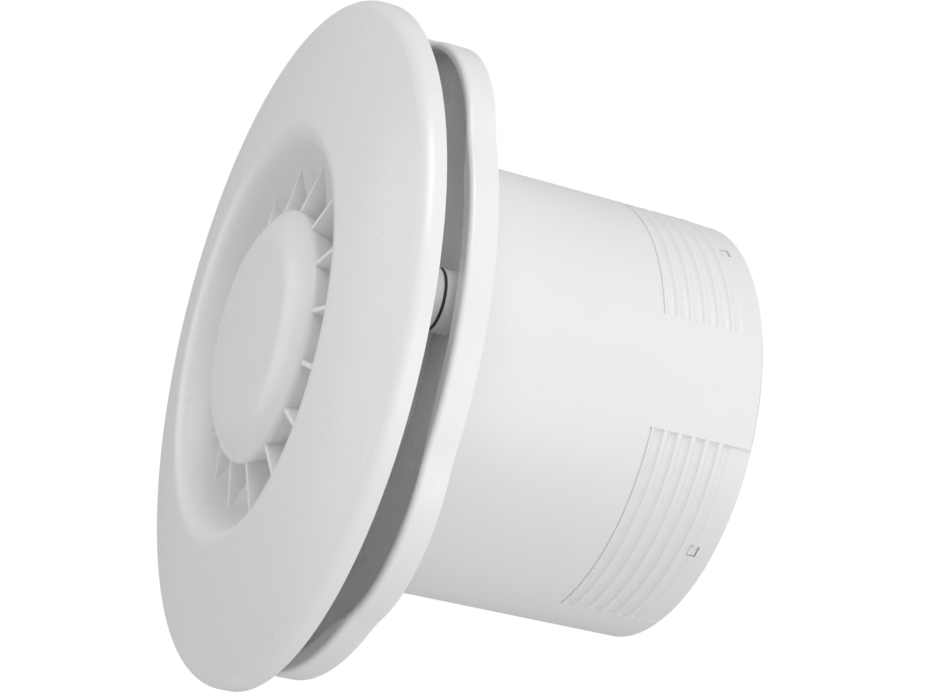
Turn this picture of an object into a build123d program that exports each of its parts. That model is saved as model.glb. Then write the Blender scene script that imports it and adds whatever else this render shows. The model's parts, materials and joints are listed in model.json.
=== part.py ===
from build123d import *
import math
import os

# Bathroom extractor fan for a 100 mm duct: a dished round panel stands in front of a base frame on
# the wall, and a spigot with the motor, the impeller and a back-draught flap goes through the wall.
# PAST is how far a cutting shape runs past the surface that it cuts.
# Millimetres. The fan axis is Y: the room is towards -Y, the duct runs towards +Y, and +Z is up.
# The origin is where the fan axis meets the wall plane, which is the base frame's rear face.

# ---- driving dimensions -------------------------------------------------------------------------
SPIGOT_R = 49.0
SPIGOT_WALL = 2.2
SPIGOT_END_Y = 76.1
SPIGOT_RIM_Y = -7.0
PANEL_R = 77.5
PANEL_RIM_Y = -14.0
PANEL_WALL = 2.0
TRAY_FRONT_Y = -6.2
TRAY_FLOOR_Y = -2.0
MOTOR_MID_Y = 15.5
STACK_LENGTH = 15.0
SHAFT_R = 2.0
RUNNING_GAP = 0.06
BODY_GAP = 0.4
SCREW_R = 1.45
SMALL_SCREW_R = 1.2
SCREW_ROOM = 0.15
PAST = 1.0

DIAGONALS = (45, 135, 225, 315)
POST_ANGLES = (0, 120, 240)
ARM_ANGLES = (60, 180, 300)
EAR_ANGLES = (80, 150, 210, 280)
WALL_HOLE_ANGLES = (75, 255)


# ---- shared shapes ------------------------------------------------------------------------------
def turned(corners):
    """Solid turned about the fan axis from a closed outline of (radius, y) corners."""
    return revolve(make_face(Polyline(corners, close=True)), Axis.Y)


def ring(outer, inner, y0, y1):
    """Plain ring about the fan axis."""
    return turned([(inner, y0), (outer, y0), (outer, y1), (inner, y1)])


def bar(radius, y0, y1, x=0.0, z=0.0):
    """Round bar parallel to the fan axis."""
    return Pos(x, (y0 + y1) / 2, z) * Rot(90, 0, 0) * Cylinder(radius, y1 - y0)


def cross_bar(radius, x0, x1, y, z):
    """Round bar along X."""
    return Pos((x0 + x1) / 2, y, z) * Rot(0, 90, 0) * Cylinder(radius, x1 - x0)


def block(x0, x1, y0, y1, z0, z1):
    """Rectangular block between two corners."""
    return Pos((x0 + x1) / 2, (y0 + y1) / 2, (z0 + z1) / 2) * Box(x1 - x0, y1 - y0, z1 - z0)


def slab(outline, y0, y1):
    """Outline drawn in X and Z, given depth from y0 to y1."""
    plane = Plane(origin=(0, y1, 0), x_dir=(1, 0, 0), z_dir=(0, -1, 0))
    return extrude(plane * outline, y1 - y0)


def turn(shape, angle):
    """Shape turned about the fan axis, from +X towards +Z."""
    return Rot(0, -angle, 0) * shape


def around(shape, angles):
    """Copies of a shape at several angles about the fan axis."""
    return [turn(shape, angle) for angle in angles]


HEAD_EDGE = 0.45
RECESS_DEPTH = 0.6
RECESS_REACH = 0.62
RECESS_HALF = 0.16


def screw(radius, head_radius, head_height, y_seat, length, x=0.0, z=0.0):
    """Pan-head screw pointing to +Y, with its head in front of y_seat and a cross recess."""
    body = bar(radius, y_seat, y_seat + length, x, z)
    head = bar(head_radius, y_seat - head_height, y_seat, x, z)
    head = fillet(head.edges().group_by(Axis.Y)[0], HEAD_EDGE * head_height)
    depth = RECESS_DEPTH * head_height
    arm = RECESS_REACH * head_radius
    half = RECESS_HALF * head_radius
    front = y_seat - head_height
    recess = block(x - arm, x + arm, front, front + depth, z - half, z + half)
    recess += block(x - half, x + half, front, front + depth, z - arm, z + arm)
    return body + head - recess


def write(name, shape):
    """One STEP file for each separate piece, or group of identical pieces."""
    solids = shape if isinstance(shape, list) else [shape]
    piece = solids[0] if len(solids) == 1 else Compound(children=solids)
    export_step(piece, f"parts/{name}.step")


# ---- front panel --------------------------------------------------------------------------------
RIM_CORNER_Y = -18.8
FACE_MID = (61.5, -22.9)
WELL_CREST = (45.2, -25.9)
WELL_FLOOR_R = 39.6
WELL_FLOOR_Y = -14.2
FACE_RADII = (3.2, 200.0, 4.0, 11.0)
POST_R = 6.7
POST_RING_R = 57.3
POST_END_Y = -6.7
WASHER_THICK = 0.4
PIN_R = 2.62
PIN_END_Y = -1.2
PIN_SLOT = 0.9
LEG_R = 20.0
LEG_THICK = 1.6
LEG_WIDTH = 6.0
LEG_BARB = 1.0
LEG_ROOM = 0.3
LEG_ANGLES = (90, 210, 330)


def moved_right(corners, distance):
    """Path moved sideways to its right by a distance, with its corners kept sharp."""
    path = [Vector(*corner) for corner in corners]
    normals = []
    for start, end in zip(path, path[1:]):
        along = (end - start).normalized()
        normals.append(Vector(along.Y, -along.X))
    moved = [path[0] + normals[0] * distance]
    for corner, before, after in zip(path[1:], normals, normals[1:]):
        moved.append(corner + (before + after) * (distance / (1 + before.dot(after))))
    moved.append(path[-1] + normals[-1] * distance)
    return moved


def panel_outline():
    """Front outline of the panel from its rear rim to the axis."""
    return [
        (PANEL_R, PANEL_RIM_Y),
        (PANEL_R, RIM_CORNER_Y),
        FACE_MID,
        WELL_CREST,
        (WELL_FLOOR_R, WELL_FLOOR_Y),
        (0, WELL_FLOOR_Y),
    ]


def front_panel():
    """Dished disc with a round well, three posts with split pins, and slots for the cap's legs."""
    front = panel_outline()
    rear = moved_right(front, PANEL_WALL)
    rim, mid, crest, well = FACE_RADII
    rear_radii = (rim - PANEL_WALL, mid - PANEL_WALL, crest - PANEL_WALL, well + PANEL_WALL)
    section = FilletPolyline(
        *front,
        *reversed(rear),
        radius=[0, *FACE_RADII, 0, 0, *reversed(rear_radii), 0],
        close=True,
    )
    panel = revolve(make_face(section), Axis.Y)

    back = [(0, 0), (PANEL_R, 0)]
    envelope = FilletPolyline(*back, *front[1:], radius=[0, 0, *FACE_RADII, 0], close=True)
    envelope = revolve(make_face(envelope), Axis.Y)
    post = bar(POST_R, WELL_CREST[1], POST_END_Y, POST_RING_R)
    post += bar(PIN_R, PANEL_RIM_Y, PIN_END_Y, POST_RING_R)
    post -= block(
        POST_RING_R - PIN_R, POST_RING_R + PIN_R, TRAY_FRONT_Y, PIN_END_Y, -PIN_SLOT / 2, PIN_SLOT / 2
    )
    panel += [piece & envelope for piece in around(post, POST_ANGLES)]

    slot_half = LEG_WIDTH / 2 + LEG_ROOM
    slot = block(
        LEG_R - LEG_ROOM, LEG_R + LEG_THICK + LEG_ROOM,
        WELL_FLOOR_Y - PAST, WELL_FLOOR_Y + PANEL_WALL + PAST,
        -slot_half, slot_half,
    )
    return panel - around(slot, LEG_ANGLES)


# ---- centre cap ---------------------------------------------------------------------------------
CAP_R = 28.9
CAP_RIM_Y = -22.1
CAP_TOP_Y = -27.2
CAP_SHOULDER = (23.6, -26.0)
CAP_FOOT_R = 26.4
CAP_WALL = 1.6
CAP_EDGE = 1.6
CAP_SHOULDER_CURVE = 12.0
FIN_COUNT = 16
FIN_TIP = (39.6, -19.4)
FIN_THICK = 1.1
FIN_FOOT_Y = -14.6
FIN_DROP = 0.3
FIN_BITE = 0.6
BARB_LENGTH = 1.8
BARB_TIP = 0.6
BARB_ROOM = 0.1


def centre_cap():
    """Shallow dome with a shoulder and a tapered skirt, a crown of fins and three snap legs."""
    outside = [(0, CAP_TOP_Y), CAP_SHOULDER, (CAP_R, CAP_RIM_Y), (CAP_FOOT_R, WELL_FLOOR_Y)]
    inside = [(radius - CAP_WALL, y + CAP_WALL) for radius, y in outside[1:3]]
    inside = [(0, CAP_TOP_Y + CAP_WALL), *inside, (CAP_FOOT_R - CAP_WALL, WELL_FLOOR_Y)]
    section = FilletPolyline(
        *outside,
        *reversed(inside),
        radius=[0, CAP_SHOULDER_CURVE, CAP_EDGE, 0, 0, 0, CAP_SHOULDER_CURVE, 0],
        close=True,
    )
    cap = revolve(make_face(section), Axis.Y)

    root_r = CAP_FOOT_R - FIN_BITE
    fin_top = CAP_RIM_Y + FIN_DROP
    fin = make_face(Polyline((root_r, fin_top + FIN_BITE), (CAP_R, fin_top), FIN_TIP,
                             (CAP_FOOT_R, FIN_FOOT_Y), (root_r, FIN_FOOT_Y), close=True))
    fin = extrude(fin, FIN_THICK / 2, both=True)
    cap += around(fin, [360 / FIN_COUNT * number for number in range(FIN_COUNT)])

    barb_y = WELL_FLOOR_Y + PANEL_WALL + BARB_ROOM
    barb_end_y = barb_y + BARB_LENGTH
    leg_top_y = CAP_SHOULDER[1] + CAP_WALL / 2
    leg = block(LEG_R, LEG_R + LEG_THICK, leg_top_y, barb_y, -LEG_WIDTH / 2, LEG_WIDTH / 2)
    barb = make_face(Polyline((LEG_R, barb_y), (LEG_R + LEG_THICK + LEG_BARB, barb_y),
                              (LEG_R + BARB_TIP, barb_end_y), (LEG_R, barb_end_y), close=True))
    leg += extrude(barb, LEG_WIDTH / 2, both=True)
    return cap + around(leg, LEG_ANGLES)


def post_washers():
    """Thin rubber washers that stop the panel's posts rattling on the base frame."""
    rear = POST_END_Y + WASHER_THICK
    washer = bar(POST_R, POST_END_Y, rear, POST_RING_R)
    washer -= bar(PIN_R + RUNNING_GAP, POST_END_Y, rear, POST_RING_R)
    return around(washer, POST_ANGLES)


# ---- base frame ---------------------------------------------------------------------------------
TRAY_R = 72.5
TRAY_LOBE_R = 75.6
TRAY_LOBE_CURVE = 38.0
TRAY_LOBE_BLEND = 30.0
MOUTH_R = 68.2
MOUTH_LOBE_R = 73.2
MOUTH_LOBE_CURVE = 40.0
MOUTH_LOBE_BLEND = 20.0
LIP_OUTER_EDGE = 1.1
LIP_INNER_EDGE = 0.7
WALL_HOLE_RING_R = 62.0
WALL_HOLE_R = 2.4
EAR_RING_R = 53.0
EAR_R = 3.8
EAR_THICK = 1.6
CABLE_X = -57.4
ENTRY_Z = -20.0
ENTRY_R = 4.5
GROMMET_R = 3.2
GROMMET_LIP = 1.5
GROMMET_THICK = 1.4
CLAMP_Z = -7.5
CLAMP_SCREW_DX = 4.4
CLAMP_BOSS_R = 1.9
COVER_SCREW_X = -61.5
COVER_SCREW_Z = -0.6
COVER_BOSS_R = 2.1
STANDOFF_Y = -3.5
BORE_END_Y = -0.6
COVER_FRONT_Y = -17.0
BLOCK_Z = 12.0
SOCKET_ROOM_Y = 0.4
TAPER = 0.35
TAPER_END_Y = 0.6
TUBE_ROOM = 0.15


def lobed(radius, lobe_reach, lobe_curve, blend):
    """Circle with four soft lobes on the diagonals."""
    outline = Circle(radius)
    for angle in DIAGONALS:
        outline += Rot(0, 0, angle) * Pos(lobe_reach - lobe_curve, 0) * Circle(lobe_curve)
    return fillet(outline.vertices(), blend)


def clamp_screw_xs():
    """Places of the cable clamp's two screws along X."""
    return (CABLE_X - CLAMP_SCREW_DX, CABLE_X + CLAMP_SCREW_DX)


def base_frame():
    """Shallow tray against the wall, with a lobed rim, the panel's sockets and the cable bay."""
    frame = slab(lobed(TRAY_R, TRAY_LOBE_R, TRAY_LOBE_CURVE, TRAY_LOBE_BLEND), TRAY_FRONT_Y, 0)
    frame = fillet(frame.edges().group_by(Axis.Y)[0], LIP_OUTER_EDGE)
    mouth = lobed(MOUTH_R, MOUTH_LOBE_R, MOUTH_LOBE_CURVE, MOUTH_LOBE_BLEND)
    frame -= slab(mouth, TRAY_FRONT_Y, TRAY_FLOOR_Y)
    lip = frame.faces().sort_by(Axis.Y)[0]
    frame = frame.fillet(LIP_INNER_EDGE, lip.inner_wires()[0].edges())

    frame += around(bar(POST_R, TRAY_FRONT_Y, TRAY_FLOOR_Y, POST_RING_R), POST_ANGLES)
    ear_y = SPIGOT_RIM_Y + EAR_THICK
    frame += around(bar(EAR_R, ear_y, TRAY_FLOOR_Y, EAR_RING_R), EAR_ANGLES)
    for x in clamp_screw_xs():
        frame += bar(CLAMP_BOSS_R, TRAY_FRONT_Y, TRAY_FLOOR_Y, x, CLAMP_Z)
    frame += bar(COVER_BOSS_R, COVER_FRONT_Y + COVER_WALL, TRAY_FLOOR_Y, COVER_SCREW_X, COVER_SCREW_Z)
    frame += bar(2 * SMALL_SCREW_R, STANDOFF_Y, TRAY_FLOOR_Y, CABLE_X, BLOCK_Z)

    wide_r = SPIGOT_R + TAPER + TUBE_ROOM
    narrow_r = SPIGOT_R + TUBE_ROOM
    frame -= turned([(0, TRAY_FRONT_Y), (wide_r, TRAY_FRONT_Y), (narrow_r, 0), (0, 0)])
    socket = bar(PIN_R + RUNNING_GAP, TRAY_FRONT_Y, PIN_END_Y + SOCKET_ROOM_Y, POST_RING_R)
    frame -= around(socket, POST_ANGLES)
    frame -= around(bar(WALL_HOLE_R, TRAY_FLOOR_Y, 0, WALL_HOLE_RING_R), WALL_HOLE_ANGLES)
    frame -= around(bar(SCREW_R, ear_y, BORE_END_Y, EAR_RING_R), EAR_ANGLES)
    frame -= bar(ENTRY_R, TRAY_FLOOR_Y, 0, CABLE_X, ENTRY_Z)
    for x in clamp_screw_xs():
        frame -= bar(SMALL_SCREW_R, TRAY_FRONT_Y, BORE_END_Y, x, CLAMP_Z)
    frame -= bar(SMALL_SCREW_R, COVER_FRONT_Y, BORE_END_Y, COVER_SCREW_X, COVER_SCREW_Z)
    return frame - bar(SMALL_SCREW_R, STANDOFF_Y, BORE_END_Y, CABLE_X, BLOCK_Z)


# ---- spigot -------------------------------------------------------------------------------------
BORE_R = SPIGOT_R - SPIGOT_WALL
PAD_START_Y = 51.2
PAD_HALF_ANGLE = 30
GROOVE_PITCH = 3.39
GROOVE_COUNT = 6
GROOVE_R = 1.6
GROOVE_DEPTH = 0.6
PAD_RECESS = 0.35
WINDOW_Y = 71.25
WINDOW_LENGTH = 2.2
WINDOW_WIDTH = 2.8
RIM_CHAMFER = 0.8
END_CHAMFER = 0.5
PAD_LINE_WIDTH = 0.5
PAD_LINE_DEPTH = 0.3
FIRST_GROOVE_Y = PAD_START_Y + 2.0
EAR_BITE = 1.0
LEDGE_RING_R = 42.3
LEDGE_R = 3.6
LEDGE_FRONT_Y = 1.0
LEDGE_REAR_Y = 7.4
LEAD_NOTCH_HALF = 3.2
LEAD_Y = -4.9
LEAD_NOTCH_Y = -3.5


def pad_sweep(section):
    """Section turned about the fan axis over one grip pad's width, centred on +X."""
    return turn(revolve(section, Axis.Y, 2 * PAD_HALF_ANGLE), PAD_HALF_ANGLE)


def pad_sector(outer, inner, y0, y1):
    """Ring sector as wide as one grip pad, centred on +X."""
    return pad_sweep(make_face(Polyline((inner, y0), (outer, y0), (outer, y1), (inner, y1), close=True)))


def spigot():
    """Tube through the wall: four grip pads, four snap windows, screw ears and motor ledges."""
    tube = turned([
        (BORE_R, SPIGOT_RIM_Y + RIM_CHAMFER),
        (BORE_R + RIM_CHAMFER, SPIGOT_RIM_Y),
        (SPIGOT_R + TAPER, SPIGOT_RIM_Y),
        (SPIGOT_R, TAPER_END_Y),
        (SPIGOT_R, SPIGOT_END_Y - END_CHAMFER),
        (SPIGOT_R - END_CHAMFER, SPIGOT_END_Y),
        (BORE_R, SPIGOT_END_Y),
    ])
    outside = SPIGOT_R + PAST
    line_half = PAD_LINE_WIDTH / 2
    line_floor = SPIGOT_R - PAD_LINE_DEPTH
    cuts = [pad_sector(outside, line_floor, PAD_START_Y - line_half, PAD_START_Y + line_half)]
    groove_middle_r = SPIGOT_R - GROOVE_DEPTH + GROOVE_R
    for number in range(GROOVE_COUNT):
        middle = Pos(groove_middle_r, FIRST_GROOVE_Y + number * GROOVE_PITCH)
        cuts.append(pad_sweep(middle * Circle(GROOVE_R)))
    last_groove = FIRST_GROOVE_Y + (GROOVE_COUNT - 1) * GROOVE_PITCH
    cuts.append(pad_sector(outside, SPIGOT_R - PAD_RECESS, last_groove, SPIGOT_END_Y))
    cuts.append(block(
        BORE_R - PAST, outside, WINDOW_Y - WINDOW_LENGTH / 2, WINDOW_Y + WINDOW_LENGTH / 2,
        -WINDOW_WIDTH / 2, WINDOW_WIDTH / 2,
    ))
    for cut in cuts:
        tube -= around(cut, DIAGONALS)

    ear_y = SPIGOT_RIM_Y + EAR_THICK
    ear = bar(EAR_R, SPIGOT_RIM_Y, ear_y, EAR_RING_R)
    ear += block(BORE_R + EAR_BITE, EAR_RING_R, SPIGOT_RIM_Y, ear_y, -EAR_R, EAR_R)
    ear -= bar(SCREW_R + SCREW_ROOM, SPIGOT_RIM_Y, ear_y, EAR_RING_R)
    tube += around(ear, EAR_ANGLES)

    ledge = bar(LEDGE_R, LEDGE_FRONT_Y, LEDGE_REAR_Y, LEDGE_RING_R)
    ledge_root_r = BORE_R + SPIGOT_WALL / 2
    ledge += block(LEDGE_RING_R, ledge_root_r, LEDGE_FRONT_Y, LEDGE_REAR_Y, -LEDGE_R, LEDGE_R)
    ledge -= bar(SCREW_R, LEDGE_FRONT_Y, LEDGE_REAR_Y, LEDGE_RING_R)
    tube += around(ledge, ARM_ANGLES)
    return tube - block(
        -outside, PAST - BORE_R, SPIGOT_RIM_Y, LEAD_NOTCH_Y, -LEAD_NOTCH_HALF, LEAD_NOTCH_HALF
    )


# ---- cable bay ----------------------------------------------------------------------------------
BLOCK_FRONT_Y = -13.0
BLOCK_HALF_X = 4.4
BLOCK_HALF_Z = 9.0
POLE_DZ = 4.6
POLE_Y = -7.6
BLOCK_SEAT_Y = -6.0
BLOCK_SCREW_HEAD_R = 2.0
TERMINAL_SCREW_DX = 2.2
INSERT_HALF_X = 3.8
INSERT_R = 2.3
INSERT_BORE_R = 1.4
GRUB_R = 1.05
GRUB_ROOM = 0.2
GRUB_SINK = 1.0
GRUB_SLOT = 0.4
GRUB_SLOT_DEPTH = 0.8
BARREL_WALL = 0.9
BODY_COVER = 1.1
CABLE_R = 2.6
CABLE_ROOM = 0.4
CLAMP_EDGE = 1.7
CLAMP_HALF_Z = 3.0
CLAMP_FRONT_Y = -8.4
COVER_WALL = 1.2
COVER_X = (-65.0, -49.8)
COVER_Z = (-13.0, 22.2)
COVER_CORNER = 3.0
COVER_NOTCH_Y = -8.6
LEAD_R = 0.7


def pole_heights():
    """Heights of the block's two poles."""
    return (BLOCK_Z - POLE_DZ, BLOCK_Z + POLE_DZ)


def screw_places():
    """Places of the block's four clamping screws."""
    return [(CABLE_X + side * TERMINAL_SCREW_DX, z) for side in (-1, 1) for z in pole_heights()]


def terminal_block():
    """Two-pole insulated block with a round barrel over each pole."""
    x0 = CABLE_X - BLOCK_HALF_X
    x1 = CABLE_X + BLOCK_HALF_X
    body_front = POLE_Y - INSERT_R - BODY_COVER
    shape = block(x0, x1, body_front, STANDOFF_Y, BLOCK_Z - BLOCK_HALF_Z, BLOCK_Z + BLOCK_HALF_Z)
    for x, z in screw_places():
        shape += bar(GRUB_R + BARREL_WALL, BLOCK_FRONT_Y, body_front, x, z)
    shape -= bar(SMALL_SCREW_R + SCREW_ROOM, BLOCK_FRONT_Y, STANDOFF_Y, CABLE_X, BLOCK_Z)
    shape -= bar(BLOCK_SCREW_HEAD_R + SCREW_ROOM, BLOCK_FRONT_Y, BLOCK_SEAT_Y, CABLE_X, BLOCK_Z)
    for z in pole_heights():
        shape -= cross_bar(INSERT_R, x0, x1, POLE_Y, z)
    for x, z in screw_places():
        shape -= bar(GRUB_R + GRUB_ROOM, BLOCK_FRONT_Y, POLE_Y, x, z)
    return shape


def terminal_inserts():
    """Brass tubes that join the conductors."""
    inserts = []
    for z in pole_heights():
        x0 = CABLE_X - INSERT_HALF_X
        x1 = CABLE_X + INSERT_HALF_X
        tube = cross_bar(INSERT_R, x0, x1, POLE_Y, z) - cross_bar(INSERT_BORE_R, x0, x1, POLE_Y, z)
        for side in (-1, 1):
            tube -= bar(GRUB_R, POLE_Y - INSERT_R, POLE_Y, CABLE_X + side * TERMINAL_SCREW_DX, z)
        inserts.append(tube)
    return inserts


def slotted_screw(x, z):
    """Headless slotted screw that presses on a conductor."""
    front = BLOCK_FRONT_Y + GRUB_SINK
    half = GRUB_SLOT / 2
    grub = bar(GRUB_R, front, POLE_Y - LEAD_R, x, z)
    return grub - block(x - GRUB_R, x + GRUB_R, front, front + GRUB_SLOT_DEPTH, z - half, z + half)


def cable_clamp():
    """Bar that grips the mains cable against the tray."""
    half_x = CLAMP_SCREW_DX + CLAMP_EDGE
    clamp = block(CABLE_X - half_x, CABLE_X + half_x, CLAMP_FRONT_Y, TRAY_FRONT_Y,
                  CLAMP_Z - CLAMP_HALF_Z, CLAMP_Z + CLAMP_HALF_Z)
    clamp -= Pos(CABLE_X, TRAY_FLOOR_Y - CABLE_R, CLAMP_Z) * Cylinder(CABLE_R, 2 * CLAMP_HALF_Z)
    for x in clamp_screw_xs():
        clamp -= bar(SMALL_SCREW_R + SCREW_ROOM, CLAMP_FRONT_Y, TRAY_FRONT_Y, x, CLAMP_Z)
    return clamp


def cable_grommet():
    """Rubber bush in the cable entry, flush with the wall face."""
    front = TRAY_FLOOR_Y - GROMMET_THICK
    flange_r = ENTRY_R + GROMMET_LIP
    bush = turned([(GROMMET_R, front), (flange_r, front), (flange_r, TRAY_FLOOR_Y),
                   (ENTRY_R, TRAY_FLOOR_Y), (ENTRY_R, 0), (GROMMET_R, 0)])
    return Pos(CABLE_X, 0, ENTRY_Z) * bush


def terminal_cover():
    """Box lid over the block and the clamp, with notches for the cable and the motor leads."""
    x0, x1 = COVER_X
    z0, z1 = COVER_Z
    cover = block(x0, x1, COVER_FRONT_Y, TRAY_FLOOR_Y, z0, z1)
    cover = fillet(cover.edges().filter_by(Axis.Y), COVER_CORNER)
    cover = fillet(cover.edges().group_by(Axis.Y)[0], COVER_WALL)
    inside = block(x0 + COVER_WALL, x1 - COVER_WALL, COVER_FRONT_Y + COVER_WALL, TRAY_FLOOR_Y,
                   z0 + COVER_WALL, z1 - COVER_WALL)
    cover -= fillet(inside.edges().filter_by(Axis.Y), COVER_CORNER - COVER_WALL)
    cover -= bar(SMALL_SCREW_R + SCREW_ROOM, COVER_FRONT_Y, COVER_FRONT_Y + COVER_WALL,
                 COVER_SCREW_X, COVER_SCREW_Z)
    cable_half = CABLE_R + CABLE_ROOM
    cover -= block(CABLE_X - cable_half, CABLE_X + cable_half, TRAY_FLOOR_Y - 2 * CABLE_R, TRAY_FLOOR_Y,
                   z0, z0 + COVER_WALL)
    notch_half = LEAD_NOTCH_HALF + COVER_WALL
    return cover - block(x1 - COVER_WALL, x1, COVER_NOTCH_Y, TRAY_FLOOR_Y, -notch_half, notch_half)


# ---- motor --------------------------------------------------------------------------------------
STACK_Y0 = MOTOR_MID_Y - STACK_LENGTH / 2
STACK_Y1 = MOTOR_MID_Y + STACK_LENGTH / 2
STATOR_BORE_R = 12.0
ROTOR_R = STATOR_BORE_R - BODY_GAP
STACK_HALF_X = 22.0
STACK_TOP_Z = 17.0
LEG_INNER_X = 13.5
CORE_TOP_Z = -27.0
CORE_FOOT_Z = -35.0
MOTOR_SCREW_X = 17.5
MOTOR_SCREW_R = 1.5
SHADE_ANGLE = 59
SHADE_R = 14.5
SHADE_HALF_WIDTH = 5.3
SHADE_BAR = 1.4
BRACKET_THICK = 2.5
BRACKET_INSET = 0.5
NUT_CORNER_R = 3.1
NUT_HEIGHT = 2.4
BOLT_ROOM = 0.1
CORE_CORNER = 2.0
SHADE_ROOM = 0.2
SHADE_REACH = 3.0
BRACKET_HALF_Z = 4.5
HUB_R = 6.5
BUSH_R = 4.5
PLATE_Y = 4.5
HUB_END_Y = -1.0


def mirrored(shape):
    """Same shape on the other side of the motor's mid plane."""
    return mirror(shape, Plane(origin=(0, MOTOR_MID_Y, 0), z_dir=(0, 1, 0)))


def stator_core():
    """C-shaped stack of steel sheets, round the rotor above and through the coil below."""
    half = STACK_HALF_X
    core = block(-half, half, STACK_Y0, STACK_Y1, CORE_FOOT_Z, STACK_TOP_Z)
    core -= block(-LEG_INNER_X, LEG_INNER_X, STACK_Y0, STACK_Y1, CORE_TOP_Z, -STACK_TOP_Z)
    upright = core.edges().filter_by(Axis.Y)
    corners = [edge for edge in upright if abs(edge.center().X) > (half + LEG_INNER_X) / 2]
    core = fillet(corners, CORE_CORNER)
    core -= bar(STATOR_BORE_R, STACK_Y0, STACK_Y1)
    for side in (-1, 1):
        core -= bar(MOTOR_SCREW_R + BOLT_ROOM, STACK_Y0, STACK_Y1, side * MOTOR_SCREW_X)
    slot = SHADE_BAR + SHADE_ROOM
    for offset in (-SHADE_HALF_WIDTH, SHADE_HALF_WIDTH):
        cut = block(STATOR_BORE_R - SHADE_REACH, SHADE_R + slot / 2, STACK_Y0, STACK_Y1,
                    offset - slot / 2, offset + slot / 2)
        core -= around(cut, (SHADE_ANGLE, SHADE_ANGLE + 180))
    return core


def shading_rings():
    """Copper loops round one tip of each pole, which start the motor turning one way."""
    half = SHADE_HALF_WIDTH
    over = SHADE_BAR
    x0 = SHADE_R - over / 2
    x1 = SHADE_R + over / 2
    loop = block(x0, x1, STACK_Y0 - over, STACK_Y1 + over, -half - over / 2, half + over / 2)
    loop -= block(x0, x1, STACK_Y0, STACK_Y1, over / 2 - half, half - over / 2)
    return around(loop, (SHADE_ANGLE, SHADE_ANGLE + 180))


COIL_HALF_X = 12.0
COIL_FLANGE = 1.2
COIL_DEPTH = 6.4
BOBBIN_WALL = 1.0
CHEEK_LIP = 0.6
COIL_EDGE = 3.0


def coil_section(margin, half_x):
    """Block round the stator's lower limb, larger than it by a margin."""
    return block(-half_x, half_x, STACK_Y0 - margin, STACK_Y1 + margin,
                 CORE_FOOT_Z - margin, CORE_TOP_Z + margin)


def coil_bobbin():
    """Plastic former round the stator's lower limb, with a cheek at each end."""
    cheek = COIL_DEPTH + BOBBIN_WALL + CHEEK_LIP
    bobbin = coil_section(BOBBIN_WALL, COIL_HALF_X)
    for side in (-1, 1):
        x = side * (COIL_HALF_X - COIL_FLANGE / 2)
        bobbin += Pos(x, 0, 0) * coil_section(cheek, COIL_FLANGE / 2)
    return bobbin - coil_section(0.0, COIL_HALF_X)


def coil_winding():
    """Wound copper under its tape."""
    coil = coil_section(BOBBIN_WALL + COIL_DEPTH, COIL_HALF_X - COIL_FLANGE)
    coil = fillet(coil.edges().filter_by(Axis.X), COIL_EDGE)
    return coil - coil_section(BOBBIN_WALL, COIL_HALF_X)


def front_bearing_bracket():
    """Die-cast bridge over the rotor with a hub for the bush."""
    outer = STACK_HALF_X - BRACKET_INSET
    step = LEG_INNER_X + BRACKET_INSET
    front = PLATE_Y - BRACKET_THICK
    foot_front = STACK_Y0 - BRACKET_THICK
    inner = step - BRACKET_THICK
    half_outline = [(0, front), (step, front), (step, foot_front), (outer, foot_front),
                    (outer, STACK_Y0), (inner, STACK_Y0), (inner, PLATE_Y), (0, PLATE_Y)]
    half = extrude(make_face(Polyline(half_outline, close=True)), BRACKET_HALF_Z, both=True)
    bracket = half + mirror(half, Plane.YZ) + bar(HUB_R, HUB_END_Y, PLATE_Y)
    for side in (-1, 1):
        bracket -= bar(MOTOR_SCREW_R + BOLT_ROOM, foot_front, STACK_Y0, side * MOTOR_SCREW_X)
    return bracket - bar(BUSH_R, HUB_END_Y, PLATE_Y)


def front_bush():
    """Sintered bronze bush that the shaft turns in."""
    return ring(BUSH_R, SHAFT_R + RUNNING_GAP, HUB_END_Y, PLATE_Y)


SPIDER_FRONT_Y = -4.0
SPIDER_RING_Y = -1.5
SPIDER_ARM_Y = -0.6
SPIDER_ARM_HALF = 1.6
SPIDER_SEAT_Y = -1.5
STANDOFF_R = 3.4
SPIDER_RING_R = (8.0, 14.0)


def motor_spider():
    """Three-armed carrier that hangs the motor in the middle of the spigot."""
    inner, outer = SPIDER_RING_R
    spider = ring(outer, inner, SPIDER_FRONT_Y, SPIDER_RING_Y)
    middle = (inner + outer) / 2
    link = block(middle, MOTOR_SCREW_X, SPIDER_FRONT_Y, SPIDER_RING_Y, -STANDOFF_R, STANDOFF_R)
    link += bar(STANDOFF_R, SPIDER_FRONT_Y, STACK_Y0 - BRACKET_THICK, MOTOR_SCREW_X)
    spider += around(link, (0, 180))
    arm = block(middle, LEDGE_RING_R, SPIDER_FRONT_Y, SPIDER_ARM_Y, -SPIDER_ARM_HALF, SPIDER_ARM_HALF)
    arm += bar(LEDGE_R, SPIDER_SEAT_Y, LEDGE_FRONT_Y, LEDGE_RING_R)
    arm -= bar(LEDGE_R, SPIDER_FRONT_Y, SPIDER_SEAT_Y, LEDGE_RING_R)
    arm -= bar(SCREW_R + SCREW_ROOM, SPIDER_SEAT_Y, LEDGE_FRONT_Y, LEDGE_RING_R)
    spider += around(arm, ARM_ANGLES)
    bolt_r = MOTOR_SCREW_R + BOLT_ROOM
    bolt_hole = bar(bolt_r, SPIDER_FRONT_Y, STACK_Y0 - BRACKET_THICK, MOTOR_SCREW_X)
    return spider - around(bolt_hole, (0, 180))


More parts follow.
